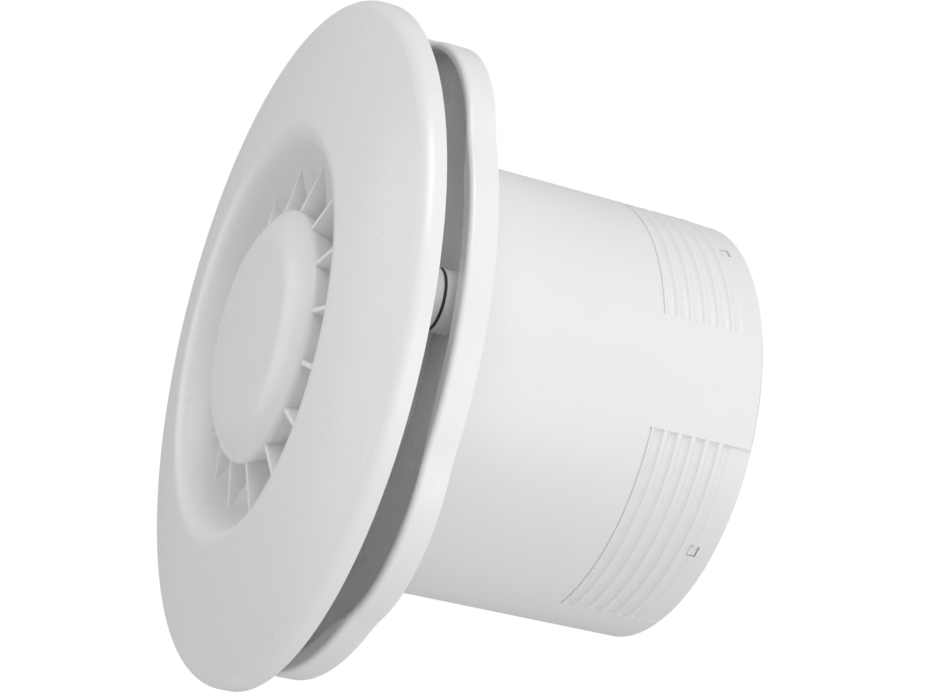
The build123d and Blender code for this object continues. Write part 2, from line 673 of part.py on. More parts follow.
def hex_nut(x):
    """Plain nut behind the rear bracket's foot."""
    seat = STACK_Y1 + BRACKET_THICK
    nut = slab(Pos(x, 0) * RegularPolygon(NUT_CORNER_R, 6), seat, seat + NUT_HEIGHT)
    return nut - bar(MOTOR_SCREW_R, seat, seat + NUT_HEIGHT, x)


# ---- leads --------------------------------------------------------------------------------------
LEAD_DZ = 1.2
LEAD_COIL_Y = 4.0
LEAD_COIL_Z = CORE_TOP_Z + 5
LEAD_END_X = CABLE_X + 1.2
LEAD_RISE_X = CABLE_X + BLOCK_HALF_X + 1.0
LEAD_BEND = 4.0
BEND_SHARE = 0.45
LIVE_LOW_Y = -5.3
LIVE_Z = 3.6
LIVE_BEND_Z = 5.0


def inner_run(side):
    """Start of a lead: out of the coil, forward and on to the spider's left arm."""
    z = LEAD_COIL_Z + side * LEAD_DZ
    shift = side * LEAD_DZ
    return [
        (-COIL_HALF_X, LEAD_COIL_Y, z),
        (-COIL_HALF_X - 4.5 + shift, LEAD_COIL_Y, z),
        (-COIL_HALF_X - 8.5 + shift, LEAD_Y, z + 7),
        (-COIL_HALF_X - 12.5 + shift, LEAD_Y, LEAD_COIL_Z / 3),
        (-COIL_HALF_X - 17.0, LEAD_Y, shift),
        (-SPIGOT_R, LEAD_Y, shift),
    ]


def live_route():
    """Live lead: up behind the neutral one, to the block's upper pole."""
    pole_z = pole_heights()[1]
    return inner_run(1) + [
        (LEAD_RISE_X, LIVE_LOW_Y, LIVE_Z),
        (LEAD_RISE_X, LIVE_LOW_Y, pole_z - LIVE_BEND_Z),
        (LEAD_RISE_X, POLE_Y, pole_z),
        (LEAD_END_X, POLE_Y, pole_z),
    ]


def neutral_route():
    """Neutral lead: straight to the block's lower pole."""
    pole_z = pole_heights()[0]
    return inner_run(-1) + [
        (LEAD_RISE_X, POLE_Y, LEAD_DZ),
        (LEAD_RISE_X, POLE_Y, pole_z),
        (LEAD_END_X, POLE_Y, pole_z),
    ]


def bend_radii(route):
    """Largest even bend at each corner of a route, up to a lead's natural bend."""
    corners = [Vector(*corner) for corner in route]
    radii = []
    for before, corner, after in zip(corners, corners[1:], corners[2:]):
        first = corner - before
        second = after - corner
        half_turn = math.radians(first.get_angle(second) / 2)
        room = BEND_SHARE * min(first.length, second.length) / math.tan(half_turn)
        radii.append(min(room, LEAD_BEND))
    return radii


def wire_along(route):
    """Insulated wire along straight runs joined by tangent arcs."""
    path = FilletPolyline(*route, radius=bend_radii(route))
    start = Plane(origin=path @ 0, z_dir=path % 0)
    return sweep(start * Circle(LEAD_R), path=path)


# ---- rotor --------------------------------------------------------------------------------------
SHAFT_START_Y = -2.4
SHAFT_END_Y = 53.0
CAGE_BARS = 13
CAGE_R = 10.0
CAGE_BAR_R = 0.9
END_RING = 2.4
END_RING_R = (11.0, 5.5)
THRUST_R = 5.0
THRUST_GAP = 0.3
THRUST_THICK = 0.5


def cage_bars():
    """Aluminium bars of the squirrel cage."""
    angles = [360 / CAGE_BARS * number for number in range(CAGE_BARS)]
    return around(bar(CAGE_BAR_R, STACK_Y0, STACK_Y1, CAGE_R), angles)


def rotor_core():
    """Round stack of steel sheets on the shaft."""
    return ring(ROTOR_R, SHAFT_R, STACK_Y0, STACK_Y1) - cage_bars()


def rotor_cage():
    """Cast aluminium bars and end rings."""
    front = ring(*END_RING_R, STACK_Y0 - END_RING, STACK_Y0)
    rear = ring(*END_RING_R, STACK_Y1, STACK_Y1 + END_RING)
    return front + rear + cage_bars()


def thrust_washers():
    """Fibre washers between the rotor and the bushes."""
    front_y = PLATE_Y + THRUST_GAP
    front = ring(THRUST_R, SHAFT_R, front_y, front_y + THRUST_THICK)
    return [front, mirrored(front)]


IMPELLER_Y0 = 34.0
IMPELLER_Y1 = 54.0
IMPELLER_HUB_R = 17.0
IMPELLER_TIP_R = 45.3
BLADE_COUNT = 7
BLADE_MID_Y = 44.0
BLADE_ROOT_R = 16.2
BLADE_THICK = 1.5
BLADE_ROOT = (19, 36, 2.2)
BLADE_MIDDLE = (23, 52, 1.8)
BLADE_TIP = (27, 61, 1.4)
HUB_WALL = 1.8
HUB_FLOOR = 2.2
HUB_EDGE = 2.5
SLEEVE_R = 5.5
SLEEVE_INSET = 4.0
HUB_RIB = 1.2
CLIP_R = 5.2
CLIP_THICK = 0.6
CLIP_TOOTH_R = 3.8
CLIP_SLOT = 0.7
SIXTHS = range(0, 360, 60)


def blade_section(radius, chord, stagger, camber):
    """Curved blade section square to the radius, with its leading edge towards the room."""
    plane = Plane(origin=(radius, BLADE_MID_Y, 0), x_dir=(0, 1, 0), z_dir=(1, 0, 0))
    half = chord / 2
    upper = ThreePointArc((-half, 0), (0, camber + BLADE_THICK / 2), (half, 0))
    lower = ThreePointArc((-half, 0), (0, camber - BLADE_THICK / 2), (half, 0))
    return plane * Rot(0, 0, stagger) * make_face(upper + lower)


def impeller():
    """Seven twisted blades on a cup-shaped hub."""
    hub = ring(IMPELLER_HUB_R, SHAFT_R, IMPELLER_Y0, IMPELLER_Y1)
    hub = fillet(hub.edges().group_by(Axis.Y)[0].sort_by(SortBy.RADIUS)[-1], HUB_EDGE)
    hub -= ring(IMPELLER_HUB_R - HUB_WALL, SLEEVE_R, IMPELLER_Y0 + HUB_FLOOR, IMPELLER_Y1)
    sleeve_end = IMPELLER_Y1 - SLEEVE_INSET
    rib_outer = IMPELLER_HUB_R - HUB_WALL / 2
    rib = block(THRUST_R, rib_outer, IMPELLER_Y0 + HUB_FLOOR / 2, sleeve_end, -HUB_RIB / 2, HUB_RIB / 2)
    hub += around(rib, SIXTHS)
    hub -= ring(SLEEVE_R, SHAFT_R, sleeve_end, IMPELLER_Y1)
    middle_r = (BLADE_ROOT_R + IMPELLER_TIP_R) / 2
    blade = loft([
        blade_section(BLADE_ROOT_R, *BLADE_ROOT),
        blade_section(middle_r, *BLADE_MIDDLE),
        blade_section(IMPELLER_TIP_R + PAST, *BLADE_TIP),
    ])
    blade &= ring(IMPELLER_TIP_R, BLADE_ROOT_R, IMPELLER_Y0, IMPELLER_Y1)
    return hub + around(blade, [360 / BLADE_COUNT * number for number in range(BLADE_COUNT)])


def impeller_clip():
    """Push-on steel ring that keeps the impeller on the shaft."""
    front = IMPELLER_Y1 - SLEEVE_INSET
    rear = front + CLIP_THICK
    clip = ring(CLIP_R, SHAFT_R, front, rear)
    tooth_gap = block(0, CLIP_TOOTH_R, front, rear, -CLIP_SLOT / 2, CLIP_SLOT / 2)
    return clip - around(tooth_gap, SIXTHS)


# ---- back-draught shutter -----------------------------------------------------------------------
SEAT_REAR_Y = 71.5
SEAT_THICK = 1.6
SEAT_BORE_R = 41.0
SHUTTER_R = BORE_R - 0.15
SHUTTER_WALL = 1.7
SHUTTER_FRONT_Y = 61.0
SHUTTER_END_Y = 75.0
FLAP_R = 43.8
FLAP_TOP_Z = 33.0
FLAP_THICK = 1.1
HINGE_Y = 72.0
HINGE_Z = 39.5
HINGE_PIN_R = 1.0
KNUCKLE_R = 1.9
KNUCKLE_HALF = 8.6
TAB_HALF = 7.6
LUG_INNER_X = 9.2
LUG_OUTER_X = 12.4
LUG_BELOW = 3.0
SEAT_BITE = 0.5
SEAT_OVERLAP = 1.5
KNUCKLE_ROOM = 0.7
SLIT_START_Y = 66.0
SLIT_OFFSET = 3.6
SLIT_HALF = 0.4
HOOK_REACH = 1.5
HOOK_HALF_LENGTH = 0.9
HOOK_HALF_WIDTH = 1.2
FLAP_GAP = 0.2
FLAP_RIB_XS = (-16, 0, 16)
FLAP_RIB_HALF = 0.5
FLAP_RIB_HEIGHT = 2.2
FLAP_RIB_Z = (-34.0, 29.0)


def shutter_frame():
    """Ring that snaps into the spigot's end, with a seat for the flap and lugs for its pin."""
    inner = SHUTTER_R - SHUTTER_WALL
    frame = ring(SHUTTER_R, inner, SHUTTER_FRONT_Y, SHUTTER_END_Y)
    seat_front = SEAT_REAR_Y - SEAT_THICK
    frame += ring(inner + SEAT_BITE, SEAT_BORE_R, seat_front, SEAT_REAR_Y)
    segment = bar(inner + SEAT_BITE, seat_front, SEAT_REAR_Y)
    segment &= block(-inner, inner, seat_front, SEAT_REAR_Y, FLAP_TOP_Z - SEAT_OVERLAP, inner)
    frame += segment
    knuckle_room = HINGE_Z - KNUCKLE_R - KNUCKLE_ROOM
    frame -= block(-LUG_INNER_X, LUG_INNER_X, seat_front, SEAT_REAR_Y, knuckle_room, inner)
    for side in (-1, 1):
        low, high = sorted((side * LUG_INNER_X, side * LUG_OUTER_X))
        lug = block(low, high, seat_front, SHUTTER_END_Y, HINGE_Z - LUG_BELOW, SHUTTER_R)
        frame += lug & bar(SHUTTER_R, seat_front, SHUTTER_END_Y)
    frame -= cross_bar(HINGE_PIN_R, -LUG_OUTER_X - PAST, LUG_OUTER_X + PAST, HINGE_Y, HINGE_Z)
    for offset in (-SLIT_OFFSET, SLIT_OFFSET):
        slit = block(inner - PAST, SHUTTER_R + PAST, SLIT_START_Y, SHUTTER_END_Y,
                     offset - SLIT_HALF, offset + SLIT_HALF)
        frame -= around(slit, DIAGONALS)
    hook = block(SHUTTER_R - SEAT_BITE, BORE_R + HOOK_REACH, WINDOW_Y - HOOK_HALF_LENGTH,
                 WINDOW_Y + HOOK_HALF_LENGTH, -HOOK_HALF_WIDTH, HOOK_HALF_WIDTH)
    return frame + around(hook, DIAGONALS)


def back_draught_flap():
    """Thin disc that hangs from the pin and closes on the seat."""
    front = SEAT_REAR_Y + FLAP_GAP
    rear = front + FLAP_THICK
    flap = bar(FLAP_R, front, rear) & block(-FLAP_R, FLAP_R, front, rear, -FLAP_R, FLAP_TOP_Z)
    flap += block(-TAB_HALF, TAB_HALF, front, rear, FLAP_TOP_Z - FLAP_THICK, HINGE_Z)
    flap += cross_bar(KNUCKLE_R, -KNUCKLE_HALF, KNUCKLE_HALF, HINGE_Y, HINGE_Z)
    for x in FLAP_RIB_XS:
        flap += block(x - FLAP_RIB_HALF, x + FLAP_RIB_HALF, front, front + FLAP_RIB_HEIGHT, *FLAP_RIB_Z)
    bore = HINGE_PIN_R + RUNNING_GAP
    return flap - cross_bar(bore, -KNUCKLE_HALF, KNUCKLE_HALF, HINGE_Y, HINGE_Z)


def flap_pin():
    """Steel hinge pin across the top of the shutter."""
    return cross_bar(HINGE_PIN_R, -LUG_OUTER_X, LUG_OUTER_X, HINGE_Y, HINGE_Z)


# ---- all pieces ---------------------------------------------------------------------------------
PAN_HEAD = (2.8, 1.8)
MOTOR_HEAD = (2.8, 2.0)
COVER_HEAD = (2.2, 1.6)
CLAMP_HEAD_HEIGHT = 1.5
BLOCK_HEAD_HEIGHT = 1.4
EAR_SCREW_LENGTH = 5.8
ARM_SCREW_LENGTH = 7.5
BLOCK_SCREW_LENGTH = 5.0
CLAMP_SCREW_LENGTH = 7.4
COVER_SCREW_LENGTH = 9.0
MOTOR_SCREW_LENGTH = 33.0


def main():
    os.makedirs("parts", exist_ok=True)
    write("front_panel", front_panel())
    write("centre_cap", centre_cap())
    write("post_washers", post_washers())
    write("base_frame", base_frame())
    write("spigot", spigot())
    ear_screw = screw(SCREW_R, *PAN_HEAD, SPIGOT_RIM_Y, EAR_SCREW_LENGTH, EAR_RING_R)
    write("spigot_screws", around(ear_screw, EAR_ANGLES))

    write("terminal_block", terminal_block())
    write("terminal_inserts", terminal_inserts())
    write("terminal_screws", [slotted_screw(x, z) for x, z in screw_places()])
    write("terminal_block_screw", screw(
        SMALL_SCREW_R, BLOCK_SCREW_HEAD_R, BLOCK_HEAD_HEIGHT,
        BLOCK_SEAT_Y, BLOCK_SCREW_LENGTH, CABLE_X, BLOCK_Z,
    ))
    write("cable_clamp", cable_clamp())
    write("cable_clamp_screws", [
        screw(SMALL_SCREW_R, CLAMP_BOSS_R, CLAMP_HEAD_HEIGHT,
              CLAMP_FRONT_Y, CLAMP_SCREW_LENGTH, x, CLAMP_Z)
        for x in clamp_screw_xs()
    ])
    write("cable_grommet", cable_grommet())
    write("terminal_cover", terminal_cover())
    write("terminal_cover_screw", screw(
        SMALL_SCREW_R, *COVER_HEAD, COVER_FRONT_Y, COVER_SCREW_LENGTH, COVER_SCREW_X, COVER_SCREW_Z,
    ))

    write("motor_spider", motor_spider())
    arm_screw = screw(SCREW_R, *PAN_HEAD, SPIDER_SEAT_Y, ARM_SCREW_LENGTH, LEDGE_RING_R)
    write("spider_screws", around(arm_screw, ARM_ANGLES))
    write("stator_core", stator_core())
    write("shading_rings", shading_rings())
    write("coil_bobbin", coil_bobbin())
    write("coil_winding", coil_winding())
    front_bracket = front_bearing_bracket()
    write("front_bearing_bracket", front_bracket)
    write("rear_bearing_bracket", mirrored(front_bracket))
    write("front_bush", front_bush())
    write("rear_bush", mirrored(front_bush()))
    write("motor_screws", [
        screw(MOTOR_SCREW_R, *MOTOR_HEAD, SPIDER_FRONT_Y, MOTOR_SCREW_LENGTH, side * MOTOR_SCREW_X)
        for side in (-1, 1)
    ])
    write("motor_nuts", [hex_nut(side * MOTOR_SCREW_X) for side in (-1, 1)])
    write("live_lead", wire_along(live_route()))
    write("neutral_lead", wire_along(neutral_route()))

    write("motor_shaft", bar(SHAFT_R, SHAFT_START_Y, SHAFT_END_Y))
    write("rotor_core", rotor_core())
    write("rotor_cage", rotor_cage())
    write("thrust_washers", thrust_washers())
    write("impeller", impeller())
    write("impeller_clip", impeller_clip())

    write("shutter_frame", shutter_frame())
    write("back_draught_flap", back_draught_flap())
    write("flap_pin", flap_pin())


main()
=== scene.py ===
import json
import math

import bmesh
import bpy
from mathutils import Matrix, Vector


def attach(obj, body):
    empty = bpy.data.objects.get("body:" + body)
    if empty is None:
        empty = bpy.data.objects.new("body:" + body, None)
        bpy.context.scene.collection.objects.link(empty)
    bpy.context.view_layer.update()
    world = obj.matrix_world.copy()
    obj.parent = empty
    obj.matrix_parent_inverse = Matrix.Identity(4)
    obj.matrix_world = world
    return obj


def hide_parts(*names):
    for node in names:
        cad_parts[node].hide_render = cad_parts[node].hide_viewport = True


# Bathroom extractor fan: the looks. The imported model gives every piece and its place. The front panel
# and its centre cap are built again here as finer meshes, and every piece gets its material.
# Metres, in the model's frame: the fan axis is Y, the room is towards -Y, and +Z is up.

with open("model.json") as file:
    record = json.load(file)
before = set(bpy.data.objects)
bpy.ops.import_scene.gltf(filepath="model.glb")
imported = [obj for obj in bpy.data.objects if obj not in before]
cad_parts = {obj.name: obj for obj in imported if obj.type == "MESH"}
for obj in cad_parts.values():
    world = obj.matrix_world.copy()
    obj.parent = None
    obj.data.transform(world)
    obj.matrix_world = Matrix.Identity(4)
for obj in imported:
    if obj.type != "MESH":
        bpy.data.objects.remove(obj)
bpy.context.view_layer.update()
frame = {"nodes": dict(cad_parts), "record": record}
scene = bpy.context.scene

MM = 0.001

# Most of a noise texture's values lie between these two.
NOISE_LOW = 0.3
NOISE_HIGH = 0.7


# ---- material building blocks -------------------------------------------------------------------
class Graph:
    """A material's node tree, with short calls for the nodes that the materials share."""

    def __init__(self, name):
        self.material = bpy.data.materials.new(name)
        self.material.use_nodes = True
        self.tree = self.material.node_tree
        self.shader = self.tree.nodes["Principled BSDF"]
        self.place = self.tree.nodes.new("ShaderNodeTexCoord").outputs["Object"]

    def set(self, **inputs):
        for name, value in inputs.items():
            self.shader.inputs[name.replace("_", " ")].default_value = value

    def link(self, output, socket):
        self.tree.links.new(output, self.shader.inputs[socket])

    def mapped(self, stretch):
        """Object coordinates stretched along the axes."""
        mapping = self.tree.nodes.new("ShaderNodeMapping")
        mapping.inputs["Scale"].default_value = stretch
        self.tree.links.new(self.place, mapping.inputs["Vector"])
        return mapping.outputs["Vector"]

    def noise(self, scale, detail=3.0, stretch=(1, 1, 1), roughness=0.5):
        """Fractal noise, with scale in cells per metre."""
        node = self.tree.nodes.new("ShaderNodeTexNoise")
        node.inputs["Scale"].default_value = scale
        node.inputs["Detail"].default_value = detail
        node.inputs["Roughness"].default_value = roughness
        self.tree.links.new(self.mapped(stretch), node.inputs["Vector"])
        return node.outputs["Fac"]

    def specks(self, scale):
        """Scattered cells: the distance to the nearest cell's middle."""
        node = self.tree.nodes.new("ShaderNodeTexVoronoi")
        node.inputs["Scale"].default_value = scale
        self.tree.links.new(self.place, node.inputs["Vector"])
        return node.outputs["Distance"]

    def bands(self, scale, direction, distortion):
        """Parallel bands across one axis."""
        node = self.tree.nodes.new("ShaderNodeTexWave")
        node.bands_direction = direction
        node.wave_profile = "SIN"
        node.inputs["Scale"].default_value = scale
        node.inputs["Distortion"].default_value = distortion
        self.tree.links.new(self.place, node.inputs["Vector"])
        return node.outputs["Fac"]

    def ranged(self, value, low, high):
        """A noise brought into another range."""
        node = self.tree.nodes.new("ShaderNodeMapRange")
        node.inputs["From Min"].default_value = NOISE_LOW
        node.inputs["From Max"].default_value = NOISE_HIGH
        node.inputs["To Min"].default_value = low
        node.inputs["To Max"].default_value = high
        self.tree.links.new(value, node.inputs["Value"])
        return node.outputs["Result"]

    def blended(self, value, dark, light, from_low=NOISE_LOW, from_high=NOISE_HIGH):
        """A colour between two, by a value."""
        ramp = self.tree.nodes.new("ShaderNodeValToRGB")
        ramp.color_ramp.elements[0].position = from_low
        ramp.color_ramp.elements[0].color = (*dark, 1)
        ramp.color_ramp.elements[1].position = from_high
        ramp.color_ramp.elements[1].color = (*light, 1)
        self.tree.links.new(value, ramp.inputs["Fac"])
        return ramp.outputs["Color"]

    def bumped(self, height, strength, distance, under=None):
        """Surface relief, on top of another relief if there is one."""
        node = self.tree.nodes.new("ShaderNodeBump")
        node.inputs["Strength"].default_value = strength
        node.inputs["Distance"].default_value = distance
        self.tree.links.new(height, node.inputs["Height"])
        if under is not None:
            self.tree.links.new(under, node.inputs["Normal"])
        return node.outputs["Normal"]


def toned(colour, factor):
    """A colour made lighter or darker."""
    return tuple(min(1.0, channel * factor) for channel in colour)


def moulded_plastic(name, colour, rough, relief=0.05, coat=0.0, glow=0.0):
    """Injection-moulded plastic: faint flow tone, uneven polish and a fine moulded skin.

    Glow is how much light goes in and comes out again close by, as in unpainted white plastic.
    """
    graph = Graph(name)
    flow = graph.noise(14, detail=4, stretch=(1, 0.6, 1))
    graph.link(graph.blended(flow, toned(colour, 0.975), toned(colour, 1.01)), "Base Color")
    polish = graph.noise(90, detail=5)
    graph.link(graph.ranged(polish, rough - 0.04, rough + 0.05), "Roughness")
    skin = graph.noise(2600, detail=2)
    graph.link(graph.bumped(skin, relief, 0.03 * MM), "Normal")
    graph.set(IOR=1.52, Coat_Weight=coat, Coat_Roughness=0.12)
    if glow:
        graph.set(Subsurface_Weight=glow, Subsurface_Scale=1.5 * MM)
        graph.set(Subsurface_Radius=(1.0, 0.96, 0.9))
    return graph.material


def drawn_metal(name, colour, rough, stretch=(1, 1, 1), grain=900):
    """Metal with fine marks drawn out along one way and a slightly uneven tone."""
    graph = Graph(name)
    marks = graph.noise(grain, detail=4, stretch=stretch)
    graph.link(graph.blended(marks, toned(colour, 0.82), toned(colour, 1.08)), "Base Color")
    graph.link(graph.ranged(marks, rough - 0.08, rough + 0.10), "Roughness")
    graph.link(graph.bumped(marks, 0.25, 0.05 * MM), "Normal")
    graph.set(Metallic=1.0)
    return graph.material


def cast_metal(name, colour):
    """Die-cast or sintered metal: dull, finely pitted."""
    graph = Graph(name)
    skin = graph.noise(500, detail=6, roughness=0.65)
    graph.link(graph.blended(skin, toned(colour, 0.75), toned(colour, 1.08)), "Base Color")
    graph.link(graph.ranged(skin, 0.38, 0.62), "Roughness")
    pits = graph.bumped(graph.specks(1400), 0.25, 0.06 * MM)
    graph.link(graph.bumped(skin, 0.3, 0.1 * MM, under=pits), "Normal")
    graph.set(Metallic=0.9)
    return graph.material


def laminations(name):
    """Half-millimetre steel sheets stacked along the fan axis, with dull sheared edges."""
    graph = Graph(name)
    sheets = graph.bands(315, "Y", distortion=0.6)
    graph.link(graph.blended(sheets, (0.09, 0.09, 0.10), (0.34, 0.34, 0.36), 0.05, 0.5), "Base Color")
    graph.link(graph.ranged(graph.noise(300), 0.35, 0.6), "Roughness")
    graph.link(graph.bumped(sheets, 0.5, 0.12 * MM), "Normal")
    graph.set(Metallic=0.85)
    return graph.material


def wound_tape(name):
    """Turns of glossy polyester tape with the wire showing through as fine ridges."""
    graph = Graph(name)
    turns = graph.bands(900, "X", distortion=1.2)
    folds = graph.noise(160, detail=4, stretch=(0.25, 1, 1))
    graph.link(graph.blended(folds, (0.52, 0.40, 0.07), (0.78, 0.64, 0.16)), "Base Color")
    graph.link(graph.ranged(folds, 0.18, 0.34), "Roughness")
    wires = graph.bumped(turns, 0.35, 0.1 * MM)
    graph.link(graph.bumped(folds, 0.5, 0.3 * MM, under=wires), "Normal")
    graph.set(Coat_Weight=0.4, Coat_Roughness=0.1)
    return graph.material


def soft_rubber(name):
    """Matt black rubber with a faint bloom."""
    graph = Graph(name)
    bloom = graph.noise(260, detail=5)
    graph.link(graph.blended(bloom, (0.018, 0.018, 0.019), (0.05, 0.05, 0.052)), "Base Color")
    graph.link(graph.ranged(bloom, 0.55, 0.75), "Roughness")
    graph.link(graph.bumped(graph.noise(1800), 0.2, 0.05 * MM), "Normal")
    return graph.material


def pressed_fibre(name):
    """Vulcanised fibre: dark red-brown with short felted marks."""
    graph = Graph(name)
    felt = graph.noise(1500, detail=5, stretch=(1, 4, 1))
    graph.link(graph.blended(felt, (0.22, 0.06, 0.04), (0.42, 0.14, 0.09)), "Base Color")
    graph.link(graph.ranged(felt, 0.5, 0.7), "Roughness")
    graph.link(graph.bumped(felt, 0.3, 0.05 * MM), "Normal")
    return graph.material


def wire_skin(name, colour):
    """Extruded PVC insulation."""
    graph = Graph(name)
    draw = graph.noise(700, detail=3, stretch=(0.1, 1, 1))
    graph.link(graph.blended(draw, toned(colour, 0.85), toned(colour, 1.15)), "Base Color")
    graph.link(graph.ranged(draw, 0.28, 0.42), "Roughness")
    graph.link(graph.bumped(draw, 0.15, 0.05 * MM), "Normal")
    return graph.material


WHITE = (0.80, 0.80, 0.795)
COOL_WHITE = (0.755, 0.76, 0.77)

materials = {
    "white_abs": moulded_plastic("white_abs", WHITE, 0.30, coat=0.15, glow=0.10),
    "spigot_abs": moulded_plastic("spigot_abs", COOL_WHITE, 0.36, relief=0.08, glow=0.08),
    "impeller_abs": moulded_plastic("impeller_abs", (0.52, 0.55, 0.58), 0.38),
    "flap_abs": moulded_plastic("flap_abs", (0.74, 0.74, 0.73), 0.40),
    "grey_nylon": moulded_plastic("grey_nylon", (0.27, 0.28, 0.29), 0.52, relief=0.3),
    "natural_nylon": moulded_plastic("natural_nylon", (0.68, 0.64, 0.52), 0.40, glow=0.15),
    "black_rubber": soft_rubber("black_rubber"),
    "zinc_steel": drawn_metal("zinc_steel", (0.70, 0.70, 0.66), 0.30),
    "ground_steel": drawn_metal("ground_steel", (0.62, 0.63, 0.64), 0.22, stretch=(1, 6, 1)),
    "spring_steel": drawn_metal("spring_steel", (0.28, 0.29, 0.31), 0.35),
    "lamination_steel": laminations("lamination_steel"),
    "cast_alloy": cast_metal("cast_alloy", (0.62, 0.62, 0.61)),
    "copper": drawn_metal("copper", (0.78, 0.42, 0.26), 0.28, stretch=(1, 0.2, 1)),
    "bronze": cast_metal("bronze", (0.48, 0.34, 0.17)),
    "brass": drawn_metal("brass", (0.76, 0.60, 0.28), 0.26, stretch=(0.2, 1, 1)),
    "winding_tape": wound_tape("winding_tape"),
    "red_fibre": pressed_fibre("red_fibre"),
    "brown_pvc": wire_skin("brown_pvc", (0.13, 0.05, 0.02)),
    "blue_pvc": wire_skin("blue_pvc", (0.03, 0.11, 0.42)),
}
slots = {row["node"]: row["material_slot"] for row in frame["record"]["subparts"]}
for name, packed in frame["nodes"].items():
    packed.data.materials.clear()
    packed.data.materials.append(materials[slots[name]])


# ---- finer mouldings ----------------------------------------------------------------------------
# Millimetres and degrees here. A section is a path of (radius, y) corners, and y grows towards the wall.
TURN_STEPS = 320
POST_STEPS = 64
ARC_STEPS = 16
SHARP_ANGLE = math.radians(32)
ON_AXIS = 1e-6

PANEL_R = 77.5
PANEL_RIM_Y = -14.0
PANEL_WALL = 2.0
RIM_CORNER_Y = -18.8
FACE_MID = (61.5, -22.9)
WELL_CREST = (45.2, -25.9)
WELL_FLOOR_R = 39.6
WELL_FLOOR_Y = -14.2
RIM_CURVE = 3.2
FACE_CURVE = 200.0
CREST_CURVE = 4.0
WELL_CURVE = 11.0
POST_R = 6.7
POST_RING_R = 57.3
POST_END_Y = -6.7
POST_EDGE = 0.5
POST_ANGLES = (0, 120, 240)
PIN_R = 2.62
PIN_SPLIT_Y = -6.2
PIN_END_Y = -1.2
PIN_SLOT = 0.9

CAP_R = 28.9
CAP_RIM_Y = -22.1
CAP_TOP_Y = -27.2
CAP_SHOULDER = (23.6, -26.0)
CAP_FOOT_R = 26.4
CAP_WALL = 1.6
CAP_EDGE = 1.6
CAP_SHOULDER_CURVE = 12.0
FIN_COUNT = 16
FIN_THICK = 1.1
FIN_EDGE = 0.18
FIN_OUTLINE = [(25.8, -21.2), (28.9, -21.8), (39.6, -19.4), (26.4, -14.6), (25.8, -14.6)]
LEG_ANGLES = (90, 210, 330)
LEG_WIDTH = 6.0
LEG_OUTLINE = [(20, -25.2), (21.6, -25.2), (21.6, -12.1), (22.6, -12.1), (20.6, -10.3), (20, -10.3)]


def rounded(corners, radii):
    """Path through the corners, each rounded to its radius."""
    path = [Vector(corners[0])]
    for before, corner, after, radius in zip(corners, corners[1:], corners[2:], radii[1:]):
        point = Vector(corner)
        if not radius:
            path.append(point)
            continue
        back = (Vector(before) - point).normalized()
        ahead = (Vector(after) - point).normalized()
        half = back.angle(ahead) / 2
        middle = point + (back + ahead).normalized() * (radius / math.sin(half))
        start = point + back * (radius / math.tan(half)) - middle
        end = point + ahead * (radius / math.tan(half)) - middle
        sweep = start.angle(end)
        for step in range(ARC_STEPS + 1):
            share = step / ARC_STEPS
            mixed = start * math.sin((1 - share) * sweep) + end * math.sin(share * sweep)
            path.append(middle + mixed / math.sin(sweep))
    path.append(Vector(corners[-1]))
    return path


def moved_right(corners, distance):
    """Path moved sideways to its right by a distance, with its corners kept sharp."""
    path = [Vector(corner) for corner in corners]
    normals = []
    for start, end in zip(path, path[1:]):
        along = (end - start).normalized()
        normals.append(Vector((along.y, -along.x)))
    moved = [path[0] + normals[0] * distance]
    for corner, before, after in zip(path[1:], normals, normals[1:]):
        moved.append(corner + (before + after) * (distance / (1 + before.dot(after))))
    moved.append(path[-1] + normals[-1] * distance)
    return moved


def add_turned(mesh, path, steps, x=0.0, z=0.0):
    """Surface turned about an axis parallel to Y, from a path of (radius, y) points."""
    circles = []
    for radius, y in path:
        count = steps if radius > ON_AXIS else 1
        circle = []
        for number in range(count):
            angle = math.tau * number / count
            place = Vector((x + radius * math.cos(angle), y, z + radius * math.sin(angle)))
            circle.append(mesh.verts.new(place * MM))
        circles.append(circle)
    for first, second in zip(circles, circles[1:]):
        for number in range(steps):
            after = number + 1
            corners = [first[number % len(first)], first[after % len(first)],
                       second[after % len(second)], second[number % len(second)]]
            mesh.faces.new(list(dict.fromkeys(corners)))
    return circles


def add_prism(mesh, near, far):
    """Solid between two matching outlines of points."""
    near_verts = [mesh.verts.new(point * MM) for point in near]
    far_verts = [mesh.verts.new(point * MM) for point in far]
    faces = [mesh.faces.new(near_verts), mesh.faces.new(list(reversed(far_verts)))]
    count = len(near)
    for number in range(count):
        after = (number + 1) % count
        faces.append(mesh.faces.new([near_verts[number], near_verts[after],
                                     far_verts[after], far_verts[number]]))
    return faces


def add_plate(mesh, outline, thickness, angle, edge):
    """Flat plate that stands along a radius, with slightly broken edges."""
    turn = Matrix.Rotation(-math.radians(angle), 3, "Y")
    sides = []
    for offset in (-thickness / 2, thickness / 2):
        sides.append([turn @ Vector((radius, y, offset)) for radius, y in outline])
    faces = add_prism(mesh, *sides)
    edges = list({side for face in faces for side in face.edges})
    bmesh.ops.recalc_face_normals(mesh, faces=faces)
    bmesh.ops.bevel(mesh, geom=edges, offset=edge * MM, segments=2, affect="EDGES", profile=0.5)


